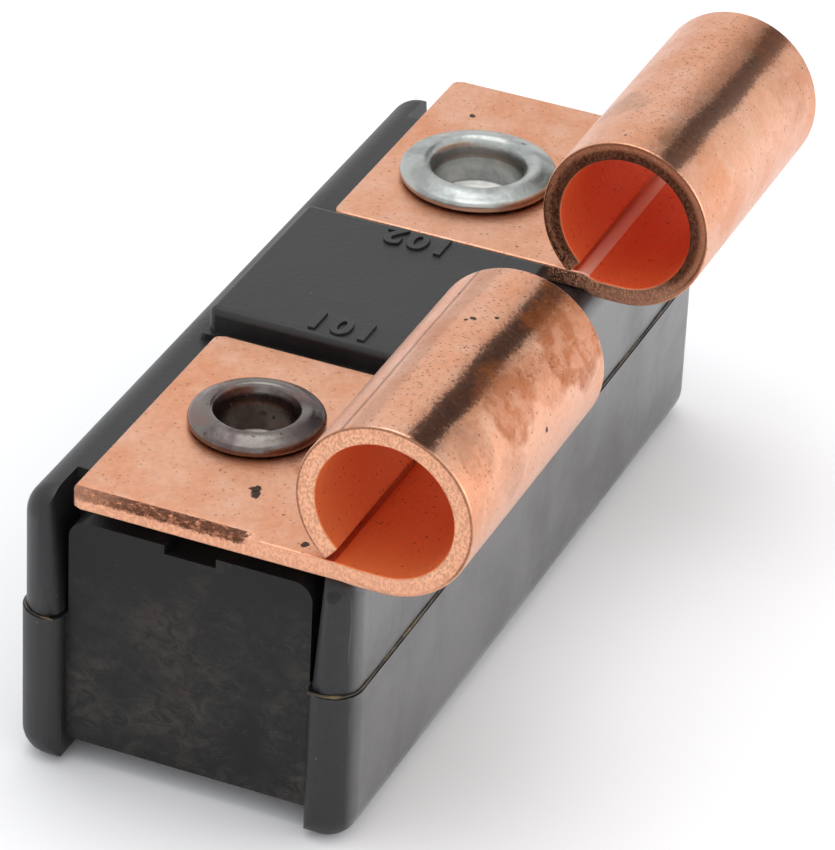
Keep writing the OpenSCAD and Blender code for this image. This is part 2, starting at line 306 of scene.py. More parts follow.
def makeCopper(name, look, darkAngleBands, stains, sootSpots, tornEdge, ledge):
    material, tree, shader, point = startMaterial(name)
    facing = axes(tree, put(tree, "ShaderNodeNewGeometry").outputs["Normal"])
    place, at = axes(tree, point), barrelPlaces
    patches = clouds(tree, point, 300.0, 0.36, 0.68, 8.0)
    pale = clouds(tree, shifted(tree, point, (0.013, 0.03, 0.01)), 700.0, 0.46, 0.7, 8.0)
    fine = clouds(tree, point, 4200.0, 0.36, 0.66, 4.0)
    colour = blendColour(tree, patches, look["fresh"], look["warm"])
    colour = cover(tree, colour, look["pale"], pale, 0.5)
    colour = cover(tree, colour, look["rust"], fine, 0.13)

    # the barrel's own angle, from +Y over the top, so bands can run along it
    dy = minus(tree, place[1], at["axisY"])
    dz = minus(tree, place[2], at["axisZ"])
    angle = times(tree, calc(tree, "ARCTAN2", dz, dy), 180 / math.pi)
    radius = calc(tree, "SQRT", plus(tree, times(tree, dy, dy), times(tree, dz, dz)))
    onBarrel = times(
        tree, calc(tree, "GREATER_THAN", radius, at["outerWall"]),
        calc(tree, "GREATER_THAN", place[2], at["aboveFlat"]))
    sheared = fade(tree, calc(tree, "ABSOLUTE", facing[0]), 0.55, 0.85)
    # a deeper red is painted where the bore is: painted bounce light inside the barrel
    inside = times(
        tree, calc(tree, "LESS_THAN", radius, at["innerWall"]), fade(tree, radius, *at["boreFade"]))
    inside = times(tree, inside, minus(tree, 1.0, sheared))
    colour = cover(tree, colour, look["inside"], inside, 0.9)

    # dark brown bands along the barrel at given angles round its axis, a soft haze that thickens grain by
    # grain
    grains = cloudNoise(tree, point, 7500.0, 4.0, 0.8)
    waves = cloudNoise(tree, stretched(tree, point, (0.35, 1, 1)), 480.0, 4.0)
    for centre, width, share in darkAngleBands:
        off = minus(tree, angle, centre)
        off = plus(tree, off, times(tree, minus(tree, waves, 0.5), width * 2.0))
        haze = fade(tree, calc(tree, "ABSOLUTE", off), width * 1.7, width * 0.15)
        thick = fade(tree, plus(tree, grains, times(tree, haze, 0.62)), 0.66, 1.0)
        band = plus(tree, times(tree, thick, 0.78), times(tree, haze, 0.22))
        band = times(tree, band, onBarrel)
        colour = cover(tree, colour, look["sootAndPaintedShadow"], band, share)

    # amber stain with darker ragged veins
    veins = clouds(tree, point, 1300.0, 0.42, 0.6, 8.0)
    contour = cloudNoise(tree, point, 1250.0, 5.0, 0.6, 1.2)
    curls = fade(tree, gap(tree, contour, 0.53), 0.016, 0.004)
    curls = times(tree, curls, fade(tree, cloudNoise(tree, point, 900.0, 3.0), 0.5, 0.58))
    for centre, size, share, tone in stains:
        near = spotAt(tree, point, centre, size, 1.0, 420.0)
        mask = times(tree, near, plus(tree, 0.5, times(tree, veins, 0.5)))
        colour = cover(tree, colour, look[tone], mask, share)
        curled = times(tree, near, curls, share)
        colour = cover(tree, colour, look["sootAndPaintedShadow"], curled, 0.7)

    # dark pits, all over and thicker on the barrel's top
    crown = times(tree, fade(tree, gap(tree, angle, at["crownAngle"]), *at["crownFade"]), onBarrel)
    pits = dots(tree, point, 3600.0, plus(tree, 0.02, times(tree, crown, 0.16)), 0.22)
    dust = dots(tree, point, 9500.0, plus(tree, 0.10, times(tree, crown, 0.4)), 0.5)
    specks = calc(tree, "MAXIMUM", times(tree, pits, 0.7), times(tree, dust, 0.45))
    colour = blendColour(tree, specks, colour, look["sootAndPaintedShadow"])
    for centre, size in sootSpots:
        spot = spotAt(tree, point, centre, size, 1.15, 2900.0)
        colour = cover(tree, colour, look["pitch"], spot, 0.94)

    # sheared faces: shear lines across the thickness, and a painted shadow line along the outer edge of the
    # barrel's cut ring
    lines = cloudNoise(tree, stretched(tree, point, (1, 1, 0.75)), 9500.0, 4.0, 0.75)
    cracked = fade(tree, lines, 0.48, 0.62)
    # a dark line painted at the cut ring's outer edge: the edge's painted shadow
    paintedRimShadow = fade(tree, gap(tree, radius, at["rimShadowLine"]), *at["rimShadowFade"])
    core = fade(tree, radius, *at["coreFade"])
    shearColour = blendColour(tree, core, look["cut"], look["cutCore"])
    shearColour = cover(tree, shearColour, look["rust"], cracked, 0.3)
    shearColour = cover(tree, shearColour, look["sootAndPaintedShadow"], paintedRimShadow, 0.6)
    lowRim = times(tree, fade(tree, place[2], *at["footFade"]), 0.75)
    shearColour = blendColour(tree, lowRim, shearColour, look["lowCut"])
    colour = blendColour(tree, sheared, colour, shearColour)
    if ledge:
        # the flat's top runs on a little past the rolled end, with a pale painted highlight on it
        y0, y1 = [c * mm for c in ledge]
        onLedge = times(
            tree, calc(tree, "GREATER_THAN", place[1], y0), calc(tree, "LESS_THAN", place[1], y1))
        onLedge = times(tree, onLedge, fade(tree, place[2], *at["ledgeFade"]))
        onLedge = times(tree, onLedge, fade(tree, facing[2], 0.5, 0.8))
        colour = cover(tree, colour, look["paintedLedgeHighlight"], onLedge, 0.9)
    tearHeight = 0.0
    if tornEdge:
        # upper edge of the end that was cropped last, smeared and torn
        x0, y0, y1, depth = [c * mm for c in tornEdge]
        edge = fade(tree, gap(tree, place[0], x0), depth, depth * 0.8)
        raggedEnd = plus(tree, place[1], times(tree, minus(tree, grains, 0.5), 0.9 * mm))
        along = times(
            tree, fade(tree, raggedEnd, y0, y0 + 0.25 * mm),
            fade(tree, place[1], y1, y1 - 2.6 * mm, 0.6, 1.0))
        lowest = plus(tree, at["tearFoot"], times(tree, minus(tree, grains, 0.5), 0.4 * mm))
        high = fade(tree, minus(tree, place[2], lowest), 0.0, 0.12 * mm)
        torn = times(tree, edge, along, high)
        crumbs = cloudNoise(tree, stretched(tree, point, (1, 0.6, 1)), 5200.0, 5.0, 0.8)
        crumbs = fade(tree, crumbs, 0.40, 0.56)
        tornColour = blendColour(tree, crumbs, look["torn"], look["tornDark"])
        colour = cover(tree, colour, tornColour, torn, 0.95)
        tearHeight = times(tree, torn, crumbs, 3.5)

    # inside the barrel a matt oxide scatters the light
    metallic = minus(tree, 1.0, times(tree, inside, 0.4))
    rolled = cloudNoise(tree, stretched(tree, point, (1, 0.08, 0.25)), 5200.0, 3.0)
    scuffs = hairs(tree, stretched(tree, point, (1.0, 0.2, 0.6), (0, 0, 24)), 1500.0, 0.3, 0.018)
    rough = plus(tree, look["roughness"], times(tree, patches, 0.07))
    rough = plus(tree, rough, times(tree, inside, 0.28))
    rough = plus(tree, rough, times(tree, specks, 0.25))
    rough = calc(tree, "ADD", rough, times(tree, minus(tree, rolled, 0.5), 0.10), True)
    fill(tree, shader, {"Base Color": colour, "Metallic": metallic, "Roughness": rough})
    height = plus(tree, times(tree, rolled, 0.5), times(tree, fine, 0.5))
    height = minus(tree, height, times(tree, specks, 1.3))
    height = minus(tree, height, times(tree, scuffs, 0.6))
    height = minus(tree, height, times(tree, sheared, cracked, 1.6))
    height = minus(tree, height, tearHeight)
    bumpFrom(tree, shader, height, look["bump"])
    return material


lineCopper = makeCopper(
    "line_copper_finish", copperLook, darkAngleBands=[(112.5, 9.5, 0.95), (60.0, 1.6, 0.55), (70.0, 7.0, 0.22)],
    stains=[
        ((-6.2, -7.4, 16.2), 2.3, 0.85, "stain"), ((-9.2, -7.7, 15.9), 1.4, 0.45, "stain"),
        ((-11.4, -7.5, 16.2), 1.7, 0.75, "stain"), ((-14.4, -7.6, 16.1), 1.3, 0.4, "rust"),
        ((-12.9, -8.25, 14.7), 1.2, 0.3, "rust"), ((-11.2, -0.2, 11.6), 0.9, 0.4, "rust")],
    sootSpots=[
        ((-13.42, 0.66, 11.6), 0.27), ((-13.72, 0.50, 11.6), 0.25), ((-15.75, -2.2, 11.6), 0.17),
        ((-10.03, -8.28, 14.59), 0.12), ((-8.6, -4.9, 17.19), 0.16), ((-8.75, -4.7, 17.16), 0.1),
        ((-8.2, -5.6, 17.17), 0.1)],
    tornEdge=(-16.3, -0.35, 6.2, 0.46), ledge=None)
# the load terminal's cut faces are painted darker, the inner half darkest: painted shade on the far
# barrel's cut ring
paintedShadeCut = dict(
    copperLook, cut=(0.50, 0.21, 0.12, 1), cutCore=(0.17, 0.066, 0.038, 1), lowCut=(0.66, 0.33, 0.21, 1),
    inside=(0.86, 0.14, 0.022, 1))
loadCopper = makeCopper(
    "load_copper_finish", paintedShadeCut, darkAngleBands=[(119.0, 8.5, 0.8)],
    stains=[
        ((8.4, -3.6, 16.7), 1.2, 0.4, "rust"), ((6.3, -6.2, 17.0), 1.0, 0.4, "rust"),
        ((15.0, -7.6, 16.0), 2.4, 0.35, "stain")],
    sootSpots=[((13.9, 4.4, 11.6), 0.12)], tornEdge=None, ledge=(-3.95, -3.2))
print("copper mixed")


# plating, plastic, glue and the inner metals
# each floor colour is a painted highlight on the floor of the rivet's hole
platingLook = {
    "line_rivet_finish": {
        "base": (0.195, 0.175, 0.162, 1), "patch": (0.11, 0.085, 0.085, 1), "tint": (0.26, 0.135, 0.125, 1),
        "tintShare": 0.55, "roughness": 0.20, "grain": 0.15, "pitShare": 0.08,
        "floor": (0.72, 0.66, 0.60, 1)},
    "load_rivet_finish": {
        "base": (0.47, 0.495, 0.48, 1), "patch": (0.30, 0.325, 0.32, 1), "tint": (0.55, 0.50, 0.46, 1),
        "tintShare": 0.2, "roughness": 0.27, "grain": 0.3, "pitShare": 0.05, "floor": (0.96, 0.93, 0.91, 1)}
}
platingMarks = {
    # the foot colour is a painted reflection of the copper plate on the collar's lower side
    "foot": (0.22, 0.10, 0.07, 1), "pit": (0.07, 0.055, 0.05, 1), "worn": (0.75, 0.72, 0.70, 1),
    "floorLevel": 10.35 * mm, "floorDepth": 0.25 * mm, "footFade": (11.95 * mm, 11.62 * mm),
    "deckTop": 11.5 * mm
}


def makePlating(name):
    look = dict(platingMarks, **platingLook[name])
    material, tree, shader, point = startMaterial(name)
    place = axes(tree, point)
    patches = clouds(tree, point, 620.0, 0.4, 0.66, 6.0)
    heat = clouds(tree, shifted(tree, point, (0.01, 0.02, 0)), 420.0, 0.5, 0.68, 3.0)
    grain = clouds(tree, point, 5200.0, 0.3, 0.7, 4.0)
    colour = blendColour(tree, patches, look["base"], look["patch"])
    colour = cover(tree, colour, look["tint"], heat, look["tintShare"])
    # the hole's floor is painted pale: a painted highlight
    bottom = fade(tree, place[2], look["floorLevel"] + look["floorDepth"], look["floorLevel"])
    colour = blendColour(tree, bottom, colour, look["floor"])
    # the collar's lower side is painted brown: a painted reflection of the copper plate
    foot = times(
        tree, fade(tree, place[2], *look["footFade"]),
        calc(tree, "GREATER_THAN", place[2], look["deckTop"]))
    colour = cover(tree, colour, look["foot"], foot, 0.55)
    worn = useGroup(tree, wornEdges, Radius=0.15 * mm, Gain=3.0)
    pits = dots(tree, point, 3600.0, look["pitShare"], 0.4)
    colour = cover(tree, colour, look["pit"], pits, 0.7)
    colour = cover(tree, colour, look["worn"], worn, 0.3)
    rough = plus(tree, look["roughness"], times(tree, patches, 0.12))
    rough = plus(tree, rough, times(tree, grain, 0.06))
    rough = calc(tree, "ADD", rough, times(tree, bottom, 0.25), True)
    fill(tree, shader, {"Base Color": colour, "Metallic": 1.0, "Roughness": rough})
    height = minus(tree, times(tree, grain, look["grain"]), times(tree, pits, 1.2))
    bumpFrom(tree, shader, height, 0.012 * mm)
    return material


lineRivetFinish = makePlating("line_rivet_finish")
loadRivetFinish = makePlating("load_rivet_finish")

plasticLook = {
    "base": (0.0075, 0.0077, 0.0088, 1), "haze": (0.012, 0.012, 0.013, 1), "worn": (0.050, 0.050, 0.052, 1),
    # the side walls' lighter grey is a painted sheen
    "dust": (0.11, 0.10, 0.09, 1), "paintedSheen": (0.050, 0.049, 0.049, 1), "scratch": (0.09, 0.088, 0.086, 1),
    "hole": (0.001, 0.001, 0.001, 1), "sideFade": (5.7 * mm, 5.9 * mm), "facingFade": (0.75, 0.97),
    "specular": 0.5, "coatRoughness": 0.32, "roughness": 0.40, "bump": 0.008 * mm
}


def makeMoulding(name, look, pits, scratchSpots):
    material, tree, shader, point = startMaterial(name)
    haze = clouds(tree, point, 190.0, 0.38, 0.72, 7.0)
    grain = clouds(tree, point, 3800.0, 0.3, 0.7, 3.0)
    colour = blendColour(tree, times(tree, haze, 0.7), look["base"], look["haze"])
    colour = cover(tree, colour, look["worn"], grain, 0.08)
    worn = useGroup(tree, wornEdges, Radius=0.22 * mm, Gain=2.5)
    rub = clouds(tree, point, 1100.0, 0.4, 0.62, 5.0)
    colour = cover(tree, colour, look["worn"], times(tree, worn, rub), 0.5)
    specks = dots(tree, point, 2400.0, 0.04, 0.2)
    colour = cover(tree, colour, look["dust"], specks, 0.4)
    fineLines = hairs(tree, stretched(tree, point, (0.16, 1.0, 1.0), (0, 9, 5)), 1300.0, 0.25, 0.02)
    scratches = times(tree, fineLines, 0.25)
    for centre, size, strength in scratchSpots:
        near = spotAt(tree, point, centre, size, 0.6, 500.0)
        steep = hairs(tree, stretched(tree, point, (1.0, 1.0, 0.14), (0, -32, 0)), 1500.0, 0.9, 0.035)
        scratches = calc(tree, "MAXIMUM", scratches, times(tree, near, steep, strength))
    colour = cover(tree, colour, look["scratch"], scratches, 0.5)
    for centre, size in pits:
        spot = spotAt(tree, point, centre, size, 1.3, 2200.0)
        colour = cover(tree, colour, look["hole"], spot, 0.8)
        scratches = calc(tree, "MAXIMUM", scratches, times(tree, spot, 2.0))
    rough = plus(tree, look["roughness"], times(tree, haze, 0.10))
    rough = minus(tree, rough, times(tree, worn, 0.08))
    rough = calc(tree, "ADD", rough, times(tree, scratches, 0.1), True)
    height = minus(tree, times(tree, grain, 0.5), times(tree, scratches, 1.6))
    # the side walls come off the tool glossier than the rest, and are painted lighter as well: a painted
    # sheen
    facing = axes(tree, put(tree, "ShaderNodeNewGeometry").outputs["Normal"])
    sides = fade(tree, calc(tree, "ABSOLUTE", facing[1]), *look["facingFade"])
    outer = gap(tree, axes(tree, point)[1], middleY * mm)
    sides = times(tree, sides, fade(tree, outer, *look["sideFade"]))
    fill(tree, shader, {
        "Base Color": cover(tree, colour, look["paintedSheen"], sides, 0.7), "Roughness": rough,
        "Specular IOR Level": look["specular"], "Coat Roughness": look["coatRoughness"],
        "Coat Weight": times(tree, sides, minus(tree, 1.0, times(tree, haze, 0.35)))})
    bumpFrom(tree, shader, height, look["bump"])
    return material


upperFinish = makeMoulding(
    "upper_moulding_finish", plasticLook, pits=[((-16.15, -3.42, 10.1), 0.34)],
    scratchSpots=[
        ((-13.6, -4.2, 8.6), 2.8, 1.0), ((-9.0, -4.2, 7.6), 1.8, 0.8), ((-3.6, 7.6, 10.6), 1.2, 0.7)])
lowerFinish = makeMoulding(
    "lower_moulding_finish", plasticLook, pits=[((-16.25, -3.9, 1.9), 0.09)],
    scratchSpots=[((-15.0, -4.275, 4.9), 1.0, 0.6)])

wallLook = {
    "clean": (0.0065, 0.0062, 0.006, 1), "smear": (0.058, 0.051, 0.045, 1),
    "rust": (0.042, 0.029, 0.023, 1), "crumb": (0.20, 0.125, 0.07, 1), "line": (0.07, 0.066, 0.06, 1),
    # the smears fade out towards the top, leaving it dark: painted shade under the copper plate
    "paintedShadeFade": (9.4 * mm, 7.0 * mm), "crumbsAt": ((-15.55, -0.6, 6.2), 2.6), "specular": 0.27,
    "roughness": 0.46, "bump": 0.012 * mm
}


def makeEndWall(name, look):
    # dull and cloudy, with grease and brown dust rubbed in
    material, tree, shader, point = startMaterial(name)
    place = axes(tree, point)
    smear = clouds(tree, point, 300.0, 0.36, 0.68, 9.0)
    swirl = cloudNoise(tree, stretched(tree, point, (1, 1, 1.3), (28, 0, 0)), 1500.0, 9.0, 0.8, 0.7)
    wisps = fade(tree, swirl, 0.36, 0.70)
    # smears only low down, so the top stays dark: painted shade under the copper plate
    lower = fade(tree, place[2], *look["paintedShadeFade"])
    smear = times(tree, smear, wisps, lower)
    colour = blendColour(tree, smear, look["clean"], look["smear"])
    rust = clouds(tree, shifted(tree, point, (0, 0.011, 0.004)), 260.0, 0.52, 0.68, 8.0)
    colour = cover(tree, colour, look["rust"], times(tree, rust, wisps), 0.75)
    crumbs = dots(tree, point, 4200.0, 0.12, 0.24)
    region = spotAt(tree, point, *look["crumbsAt"], 1.0, 600.0)
    crumbs = times(tree, crumbs, plus(tree, 0.15, times(tree, region, 0.85)))
    colour = cover(tree, colour, look["crumb"], crumbs, 0.7)
    lines = hairs(tree, stretched(tree, point, (1.0, 0.35, 1.0), (24, 0, 0)), 2600.0, 0.45, 0.014)
    colour = cover(tree, colour, look["line"], lines, 0.3)
    rough = calc(tree, "ADD", look["roughness"], times(tree, smear, 0.2), True)
    fill(tree, shader, {"Base Color": colour, "Roughness": rough, "Specular IOR Level": look["specular"]})
    bumpFrom(tree, shader, minus(tree, times(tree, swirl, 1.2), lines), look["bump"])
    return material


endWallFinish = makeEndWall("end_wall_finish", wallLook)

glueLook = {
    "dark": (0.022, 0.018, 0.013, 1), "amber": (0.15, 0.11, 0.046, 1), "dirt": (0.012, 0.010, 0.008, 1)
}


def makeGlue(look):
    material, tree, shader, point = startMaterial("cement_finish")
    cloud = clouds(tree, point, 1500.0, 0.4, 0.62, 5.0)
    dirt = clouds(tree, point, 500.0, 0.42, 0.6, 6.0)
    colour = blendColour(tree, cloud, look["dark"], look["amber"])
    colour = cover(tree, colour, look["dirt"], dirt, 0.9)
    fill(tree, shader, {"Base Color": colour, "Roughness": fade(tree, cloud, 0.0, 1.0, 0.3, 0.55)})
    bumpFrom(tree, shader, cloud, 0.03 * mm)
    return material


glueFinish = makeGlue(glueLook)
innerSpeck = (0.05, 0.04, 0.03, 1)


def makeInnerMetal(name, light, dark, roughness, run):
    material, tree, shader, point = startMaterial(name)
    lines = cloudNoise(tree, stretched(tree, point, run), 3000.0, 4.0, 0.6)
    cloud = clouds(tree, point, 350.0, 0.4, 0.7, 5.0)
    specks = dots(tree, point, 2200.0, 0.07, 0.3)
    colour = blendColour(tree, plus(tree, times(tree, lines, 0.4), times(tree, cloud, 0.6)), light, dark)
    colour = cover(tree, colour, innerSpeck, specks, 0.6)
    rough = fade(tree, lines, 0.2, 0.8, roughness - 0.06, roughness + 0.12)
    fill(tree, shader, {"Base Color": colour, "Metallic": 1.0, "Roughness": rough})
    bumpFrom(tree, shader, minus(tree, lines, specks), 0.006 * mm)
    return material


brassFinish = makeInnerMetal(
    "bracket_brass_finish", (0.72, 0.52, 0.24, 1), (0.52, 0.34, 0.14, 1), 0.28, (0.1, 1, 1))
bimetalFinish = makeInnerMetal(
    "bimetal_finish", (0.56, 0.54, 0.50, 1), (0.38, 0.35, 0.31, 1), 0.34, (0.1, 1, 1))
silverFinish = makeInnerMetal(
    "contact_silver_finish", (0.84, 0.83, 0.80, 1), (0.62, 0.60, 0.56, 1), 0.26, (1, 1, 1))
print("finishes mixed")


# geometry node helpers


def startTree(name, inputs):
    tree = bpy.data.node_groups.new(name, "GeometryNodeTree")
    tree.is_modifier = True
    return addSockets(tree, inputs, "Geometry", geometryKind)


def endTree(tree, given, result, geometry):
    real = wired(tree, "GeometryNodeRealizeInstances", {"Geometry": geometry})
    finish = wired(tree, "GeometryNodeSetMaterial", {"Geometry": real[0], "Material": given["Finish"]})
    feed(tree, result["Geometry"], finish[0])


def grow(name, base, tree, values):
    # runs a tree on an object and keeps the plain mesh
    modifier = base.modifiers.new(tree.name, "NODES")
    modifier.node_group = tree
    for item in tree.interface.items_tree:
        if item.in_out == "INPUT" and item.name in values:
            modifier[item.identifier] = values[item.name]
    return settle(name, base)


def settle(name, base):
    # turns an object and its modifiers into a new plain piece of that name
    view = bpy.context.evaluated_depsgraph_get()
    mesh = bpy.data.meshes.new_from_object(
        base.evaluated_get(view), preserve_all_data_layers=True, depsgraph=view)
    mesh.name = name
    piece = linked(bpy.data.objects.new(name, mesh))
    bpy.data.objects.remove(base)
    return piece


def reshape(mesh, change):
    bm = bmesh.new()
    bm.from_mesh(mesh)
    change(bm)
    bm.to_mesh(mesh)
    bm.free()


def meshObject(name, build):
    mesh = bpy.data.meshes.new(name)
    reshape(mesh, build)
    return linked(bpy.data.objects.new(name, mesh))


def seedPoint(name):
    # what a tree that makes its own geometry grows on
    return meshObject(name + "_seed", lambda bm: bmesh.ops.create_vert(bm, co=(0, 0, 0)))


def polyCurve(name, points):
    # a curve of straight runs through points given in millimetres
    data = bpy.data.curves.new(name, "CURVE")
    data.dimensions = "3D"
    spline = data.splines.new("POLY")
    spline.points.add(len(points) - 1)
    for point, place in zip(spline.points, points):
        point.co = [c * mm for c in place] + [1]
    return linked(bpy.data.objects.new(name, data))


def clean(obj, smooth=True, merge=0.0004 * mm):
    def change(bm):
        bmesh.ops.remove_doubles(bm, verts=bm.verts, dist=merge)
        bmesh.ops.recalc_face_normals(bm, faces=bm.faces)
        for face in bm.faces:
            face.smooth = smooth

    reshape(obj.data, change)


def evenNormals(obj):
    obj.modifiers.new("evenNormals", "WEIGHTED_NORMAL").keep_sharp = True
    return obj


# the two copper terminals
stripSize = {
    "width": 11.4, "thickness": 0.7, "edge": 0.09, "cornerRadius": 0.4, "flagEdge": 6.125,
    "rollStart": -5.175, "midHeight": 11.25, "rollRadius": 2.8, "rollAngle": 320.3, "step": 0.24,
    "columns": 46, "arcStep": 30, "finest": 0.004, "stepStart": -3.75, "stepLength": 0.5, "dent": 0.022,
    "dentSize": 170.0, "dentLevel": 0.62
}


def flatBlank(bm, size, centreX, tear):
    # the strip before it is rolled: rings of points across it, from the flag's free edge to the other end
    half, thick, edge = size["width"] / 2, size["thickness"] / 2, size["edge"]
    total = size["flagEdge"] - size["rollStart"] + size["rollRadius"] * math.radians(size["rollAngle"])
    start, run = -half + edge + 0.1, 2 * half - 2 * edge - 0.2
    across = [-half + edge + 0.02]
    across += [start + i * run / size["columns"] for i in range(size["columns"] + 1)]
    across.append(half - edge - 0.02)
    arc = [math.radians(90 - size["arcStep"] * i) for i in range(4)]

    def ring(u, inset, narrow):
        h, t, e = half - narrow - inset, thick - inset, max(edge - inset, size["finest"])
        top = [(v * (h - e) / (half - edge), t) for v in across]
        right = [(h - e + e * math.cos(a), t - e + e * math.sin(a)) for a in arc]
        right += [(h, 0.0)] + [(x, -z) for x, z in reversed(right)]
        bottom = [(v, -t) for v, _ in reversed(top)]
        left = [(-x, -z) for x, z in right]
        places = [
            ((centreX + v) * mm, (size["flagEdge"] - u) * mm, (size["midHeight"] + w) * mm)
            for v, w in top + right + bottom + left]
        return [bm.verts.new(place) for place in places], len(top), len(right)

    stations = [(edge * (1 - math.cos(a)), edge * (1 - math.sin(a))) for a in reversed(arc[1:])]
    ends = [(total - u, inset) for u, inset in reversed(stations)]
    rows = round(total / size["step"])
    inner = [edge + 0.05 + i * (total - 2 * edge - 0.1) / rows for i in range(rows + 1)]
    rings = []
    for u, inset in stations + [(u, 0.0) for u in inner] + ends:
        r = size["cornerRadius"]
        narrow = r - math.sqrt(max(r * r - (r - u) ** 2, 0.0)) if u < r else 0.0
        rings.append(ring(u, inset, narrow))
    for (a, _, _), (b, _, _) in zip(rings, rings[1:]):
        for i in range(len(a)):
            j = (i + 1) % len(a)
            bm.faces.new((a[i], a[j], b[j], b[i]))
    for points, n, sideCount in (rings[0], rings[-1]):
        last = 2 * n + sideCount - 1
        for i in range(n - 1):
            bm.faces.new((points[i], points[i + 1], points[last - 1 - i], points[last - i]))
        bm.faces.new(points[n - 1:n + sideCount + 1])
        bm.faces.new(points[last:] + [points[0]])
    if tear:
        # the cropped end's upper edge is torn down by an uneven amount
        rng = random.Random(tear["seed"])
        wave = [rng.uniform(0.35, 1.0) for _ in range(tear["lumps"])]
        for vert in bm.verts:
            x, y, z = [c / mm for c in vert.co]
            depth = abs(x - tear["x"])
            if depth < tear["depth"] and tear["from"] < y < tear["to"] and z > size["midHeight"]:
                lump = int((y + 10) / tear["lumpWidth"]) % tear["lumps"]
                share = (1 - depth / tear["depth"]) * wave[lump]
                vert.co.z -= tear["drop"] * mm * share
                vert.co.x += math.copysign(tear["drop"] * 0.5 * mm * share, -tear["x"])
    bmesh.ops.recalc_face_normals(bm, faces=bm.faces)


def makeRollTree():
    # bends what lies past the roll's start round the barrel, as the press tool does, and dents it a little
    tree, given, result = startTree("rollStrip", {
        "Geometry": geometryKind, "Roll Start": -5 * mm, "Middle Height": 11 * mm,
        "Roll Radius": 3 * mm, "Step Start": -4 * mm, "Step Drop": 0.05 * mm, "Dent Depth": 0.02 * mm,
        "Dent Size": 170.0, "Seed": 0.0, "Finish": materialKind})
    split = axes(tree, meshPoint(tree))
    past = calc(tree, "MAXIMUM", minus(tree, given["Roll Start"], split[1]), 0.0)
    turn = calc(tree, "DIVIDE", past, given["Roll Radius"])
    level = minus(tree, split[2], given["Middle Height"])
    reach = minus(tree, given["Roll Radius"], level)
    y = minus(
        tree, calc(tree, "MAXIMUM", split[1], given["Roll Start"]),
        times(tree, reach, calc(tree, "SINE", turn)))
    z = minus(
        tree, plus(tree, given["Middle Height"], given["Roll Radius"]),
        times(tree, reach, calc(tree, "COSINE", turn)))
    # the press leaves a small step down between flag and barrel, gone again at the barrel's top
    stepped = fade(
        tree, split[1], given["Step Start"], minus(tree, given["Step Start"], stripSize["stepLength"] * mm))
    rise = minus(tree, z, stripSize["midHeight"] * mm)
    risen = calc(tree, "DIVIDE", rise, 2 * stripSize["rollRadius"] * mm)
    level = calc(tree, "SUBTRACT", 1.0, risen, True)
    z = minus(tree, z, times(tree, stepped, level, given["Step Drop"]))
    joined = wired(tree, "ShaderNodeCombineXYZ", {0: split[0], 1: y, 2: z})
    bend = wired(tree, "GeometryNodeSetPosition", {"Geometry": given["Geometry"], "Position": joined[0]})
    # dents where the noise runs low, over the whole strip
    rough = lumpNoise(tree, given["Seed"], given["Dent Size"], 2.0)
    amount = times(tree, minus(tree, rough, stripSize["dentLevel"]), given["Dent Depth"])
    inward = vectorCalc(tree, "SCALE", {0: meshNormal(tree), "Scale": calc(tree, "MINIMUM", amount, 0.0)})
    dent = wired(tree, "GeometryNodeSetPosition", {"Geometry": bend[0], "Offset": inward})
    endTree(tree, given, result, dent[0])
    return tree


rollTree = makeRollTree()


def rivetCutter(x, radius):
    place = Matrix.Translation((x * mm, rivetY * mm, stripSize["midHeight"] * mm))
    size = {"segments": 48, "radius1": radius * mm, "radius2": radius * mm, "depth": 4 * mm}
    return meshObject("cutter", lambda bm: bmesh.ops.create_cone(bm, cap_ends=True, matrix=place, **size))


def cut(obj, cutter):
    modifier = obj.modifiers.new("cut", "BOOLEAN")
    modifier.operation, modifier.solver, modifier.object = "DIFFERENCE", "EXACT", cutter
    name = obj.name
    obj.name = name + "_uncut"
    piece = settle(name, obj)
    bpy.data.objects.remove(cutter)
    return piece


terminalSettings = {
    "line_terminal": {
        "centre": -10.6, "rivet": -9.65, "hole": 1.98, "seed": 3.0, "finish": lineCopper,
        "slot": "line_copper", "stepDrop": 0.04,
        "tear": {
            "x": -16.3, "from": -0.45, "to": 6.2, "depth": 0.34, "drop": 0.13, "lumps": 80,
            "lumpWidth": 0.35, "seed": 5}},
    "load_terminal": {
        "centre": 10.6, "rivet": 9.65, "hole": 2.43, "seed": 8.0, "finish": loadCopper,
        "slot": "load_copper", "stepDrop": 0.2, "tear": None}
}
for node, own in terminalSettings.items():
    blank = meshObject(node + "_strip", lambda bm: flatBlank(bm, stripSize, own["centre"], own["tear"]))
    blank = cut(blank, rivetCutter(own["rivet"], own["hole"]))
    piece = grow(node + "_strip", blank, rollTree, {
        "Roll Start": stripSize["rollStart"] * mm, "Middle Height": stripSize["midHeight"] * mm,
        "Roll Radius": stripSize["rollRadius"] * mm, "Step Start": stripSize["stepStart"] * mm,
        "Step Drop": own["stepDrop"] * mm, "Dent Depth": stripSize["dent"] * mm,
        "Dent Size": stripSize["dentSize"], "Seed": own["seed"], "Finish": own["finish"]})
    clean(piece, merge=0.0002 * mm)
    piece = settle(node + "_rolled", evenNormals(piece))
    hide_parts(node)
    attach(piece, "breaker")
    print("terminal rolled:", node, len(piece.data.polygons), "faces")


# the two semi-tubular rivets
rivetShape = {
    "top": 12.24, "rimRadius": 0.24, "rimInset": 0.02, "collarFade": (11.62 * mm, 11.95 * mm),
    "unevenness": 0.05, "bumpSize": 520.0, "bumpLevel": 0.68, "segments": 97, "stations": 150
}


